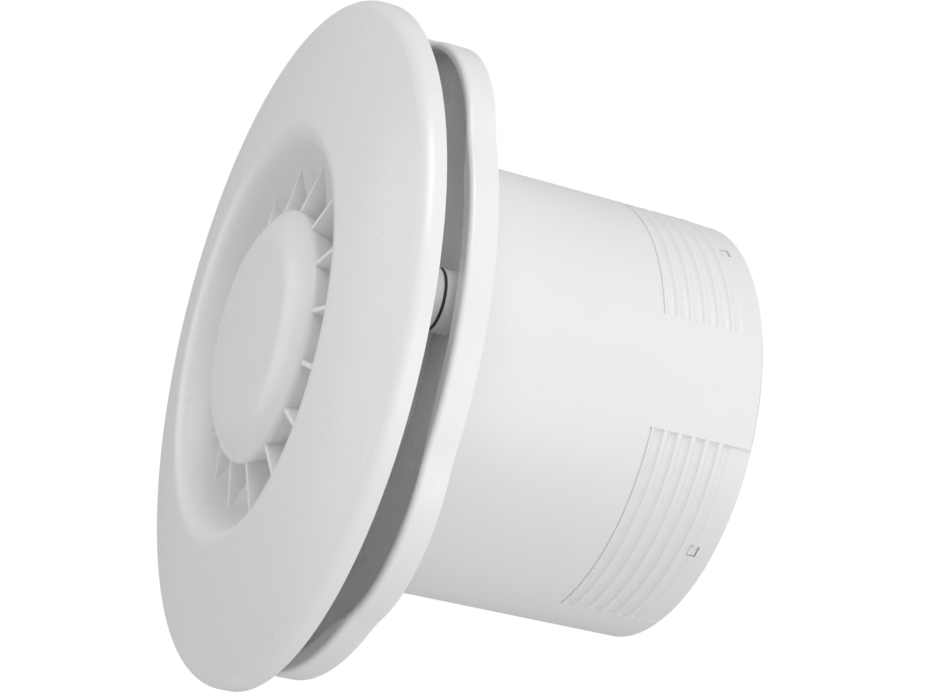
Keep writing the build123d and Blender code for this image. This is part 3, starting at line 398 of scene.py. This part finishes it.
def finished(mesh, name, material, body, replaced):
    """Object from the mesh code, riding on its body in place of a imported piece."""
    bmesh.ops.recalc_face_normals(mesh, faces=mesh.faces)
    for face in mesh.faces:
        face.smooth = True
    for edge in mesh.edges:
        edge.smooth = edge.calc_face_angle(0.0) < SHARP_ANGLE
    data = bpy.data.meshes.new(name)
    mesh.to_mesh(data)
    mesh.free()
    data.materials.append(materials[material])
    piece = bpy.data.objects.new(name, data)
    scene.collection.objects.link(piece)
    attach(piece, body)
    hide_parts(replaced)


def behind_face(radius):
    """Y of the middle of the panel's wall at a radius outside its well."""
    corners = [(PANEL_R, RIM_CORNER_Y), FACE_MID, WELL_CREST]
    for (outer, outer_y), (inner, inner_y) in zip(corners, corners[1:]):
        if radius >= inner:
            share = (radius - inner) / (outer - inner)
            return inner_y + share * (outer_y - inner_y) + PANEL_WALL / 2
    return corners[-1][1] + PANEL_WALL / 2


def add_post(mesh, angle):
    """Post from the panel's wall to the base frame, with a split pin on its end."""
    x = POST_RING_R * math.cos(math.radians(angle))
    z = POST_RING_R * math.sin(math.radians(angle))
    sides = [(POST_R, RIM_CORNER_Y), (POST_R, POST_END_Y), (0, POST_END_Y)]
    circles = add_turned(mesh, rounded(sides, [0, POST_EDGE, 0]), POST_STEPS, x, z)
    for vertex in circles[0]:
        vertex.co.y = behind_face(Vector((vertex.co.x, vertex.co.z)).length / MM) * MM
    shank = [(PIN_R, POST_END_Y), (PIN_R, PIN_SPLIT_Y), (0, PIN_SPLIT_Y)]
    add_turned(mesh, shank, POST_STEPS, x, z)
    lean = math.asin(PIN_SLOT / 2 / PIN_R)
    for facing in (0, math.pi):
        outline = []
        for step in range(ARC_STEPS + 1):
            place = facing + lean + (math.pi - 2 * lean) * step / ARC_STEPS
            outline.append((x + PIN_R * math.cos(place), z + PIN_R * math.sin(place)))
        near = [Vector((px, PIN_SPLIT_Y, pz)) for px, pz in outline]
        far = [Vector((px, PIN_END_Y, pz)) for px, pz in outline]
        add_prism(mesh, near, far)


def build_panel():
    """Dished disc with a round well and three posts."""
    mesh = bmesh.new()
    rim = [(PANEL_R, PANEL_RIM_Y), (PANEL_R, RIM_CORNER_Y)]
    well = [WELL_CREST, (WELL_FLOOR_R, WELL_FLOOR_Y), (0, WELL_FLOOR_Y)]
    front = [*rim, FACE_MID, *well]
    front_radii = [0, RIM_CURVE, FACE_CURVE, CREST_CURVE, WELL_CURVE, 0]
    rear = moved_right(front, PANEL_WALL)
    outward_radii = [radius - PANEL_WALL for radius in front_radii[1:4]]
    rear_radii = [0, *outward_radii, WELL_CURVE + PANEL_WALL, 0]
    section = list(reversed(rounded(front, front_radii))) + rounded(rear, rear_radii)
    add_turned(mesh, section, TURN_STEPS)
    for angle in POST_ANGLES:
        add_post(mesh, angle)
    finished(mesh, "panel_moulding", "white_abs", "panel", "front_panel")


def build_cap():
    """Shallow dome with a shoulder and a tapered skirt, its crown of fins and its snap legs."""
    mesh = bmesh.new()
    bends = [CAP_SHOULDER, (CAP_R, CAP_RIM_Y)]
    outside = [(0, CAP_TOP_Y), *bends, (CAP_FOOT_R, WELL_FLOOR_Y)]
    inner_bends = [(radius - CAP_WALL, y + CAP_WALL) for radius, y in bends]
    inside = [(0, CAP_TOP_Y + CAP_WALL), *inner_bends, (CAP_FOOT_R - CAP_WALL, WELL_FLOOR_Y)]
    outer_path = rounded(outside, [0, CAP_SHOULDER_CURVE, CAP_EDGE, 0])
    inner_path = rounded(inside, [0, CAP_SHOULDER_CURVE, 0, 0])
    add_turned(mesh, outer_path + list(reversed(inner_path)), TURN_STEPS)
    for number in range(FIN_COUNT):
        add_plate(mesh, FIN_OUTLINE, FIN_THICK, 360 / FIN_COUNT * number, FIN_EDGE)
    for angle in LEG_ANGLES:
        add_plate(mesh, LEG_OUTLINE, LEG_WIDTH, angle, FIN_EDGE)
    finished(mesh, "cap_moulding", "white_abs", "panel", "centre_cap")


build_panel()
build_cap()


# ---- camera, light and floor --------------------------------------------------------------------
# Metres, degrees and watts. The camera goes round from the front towards +X, then drops below the fan.
CAMERA_TURN = 67.522
CAMERA_DROP = 15.084
CAMERA_ROLL = 7.604
CAMERA_DISTANCE = 0.61586
CAMERA_AIM = (0.00223, 0.02445, 0.00767)
LENS = 105.6
SENSOR_WIDTH = 36.0

AMBIENT = 0.48
BACKDROP = 1.0
WHITE_LIGHT = (1, 1, 1, 1)
LAMP_AIM = (0, 0.02, 0)

FLOOR_Z = -0.26
FLOOR_SIZE = 6.0
FLOOR_DARK = (0.80, 0.80, 0.80)
FLOOR_LIGHT = (0.84, 0.84, 0.84)


def turned(angle, axis):
    """Rotation by an angle in degrees about an axis through the origin."""
    return Matrix.Rotation(math.radians(angle), 4, axis)


def add_camera():
    """Long lens from the front right and a little below, rolled so that the fan leans back."""
    data = bpy.data.cameras.new("camera")
    data.sensor_width = SENSOR_WIDTH
    data.lens = LENS
    camera = bpy.data.objects.new("camera", data)
    scene.collection.objects.link(camera)
    facing = turned(CAMERA_TURN, "Z") @ turned(90 + CAMERA_DROP, "X") @ turned(CAMERA_ROLL, "Z")
    back = Matrix.Translation((0, 0, CAMERA_DISTANCE))
    camera.matrix_world = Matrix.Translation(CAMERA_AIM) @ facing @ back
    scene.camera = camera


def add_light(name, place, size, power):
    """Soft square lamp aimed at the object."""
    data = bpy.data.lights.new(name, "AREA")
    data.shape = "SQUARE"
    data.size = size
    data.energy = power
    lamp = bpy.data.objects.new(name, data)
    scene.collection.objects.link(lamp)
    lamp.location = place
    lamp.rotation_mode = "QUATERNION"
    lamp.rotation_quaternion = (Vector(LAMP_AIM) - Vector(place)).to_track_quat("-Z", "Y")


def add_world():
    """White backdrop for the camera, and a softer even light on the object."""
    world = bpy.data.worlds.new("studio")
    world.use_nodes = True
    scene.world = world
    tree = world.node_tree
    tree.nodes.clear()
    seen = tree.nodes.new("ShaderNodeBackground")
    seen.inputs["Strength"].default_value = BACKDROP
    seen.inputs["Color"].default_value = WHITE_LIGHT
    lit = tree.nodes.new("ShaderNodeBackground")
    lit.inputs["Strength"].default_value = AMBIENT
    lit.inputs["Color"].default_value = WHITE_LIGHT
    path = tree.nodes.new("ShaderNodeLightPath")
    mix = tree.nodes.new("ShaderNodeMixShader")
    out = tree.nodes.new("ShaderNodeOutputWorld")
    tree.links.new(path.outputs["Is Camera Ray"], mix.inputs["Fac"])
    tree.links.new(lit.outputs["Background"], mix.inputs[1])
    tree.links.new(seen.outputs["Background"], mix.inputs[2])
    tree.links.new(mix.outputs["Shader"], out.inputs["Surface"])


def add_floor():
    """Plain pale floor well under the object."""
    mesh = bpy.data.meshes.new("floor")
    half = FLOOR_SIZE / 2
    around = [(-half, -half), (half, -half), (half, half), (-half, half)]
    mesh.from_pydata([(x, y, FLOOR_Z) for x, y in around], [], [(0, 1, 2, 3)])
    floor = bpy.data.objects.new("floor", mesh)
    scene.collection.objects.link(floor)
    graph = Graph("floor_paper")
    graph.link(graph.blended(graph.noise(6), FLOOR_DARK, FLOOR_LIGHT), "Base Color")
    graph.set(Roughness=0.9)
    mesh.materials.append(graph.material)


add_camera()
add_world()
add_light("key", place=(0.9, -0.25, 0.9), size=0.8, power=7.2)
add_light("front_fill", place=(-0.5, -1.1, 0.2), size=0.9, power=2.6)
add_light("rear_fill", place=(0.75, 0.95, 0.3), size=0.9, power=2.4)
add_light("low_fill", place=(0.35, 0.1, -0.25), size=0.6, power=1.0)
add_floor()
scene.view_settings.view_transform = "Standard"
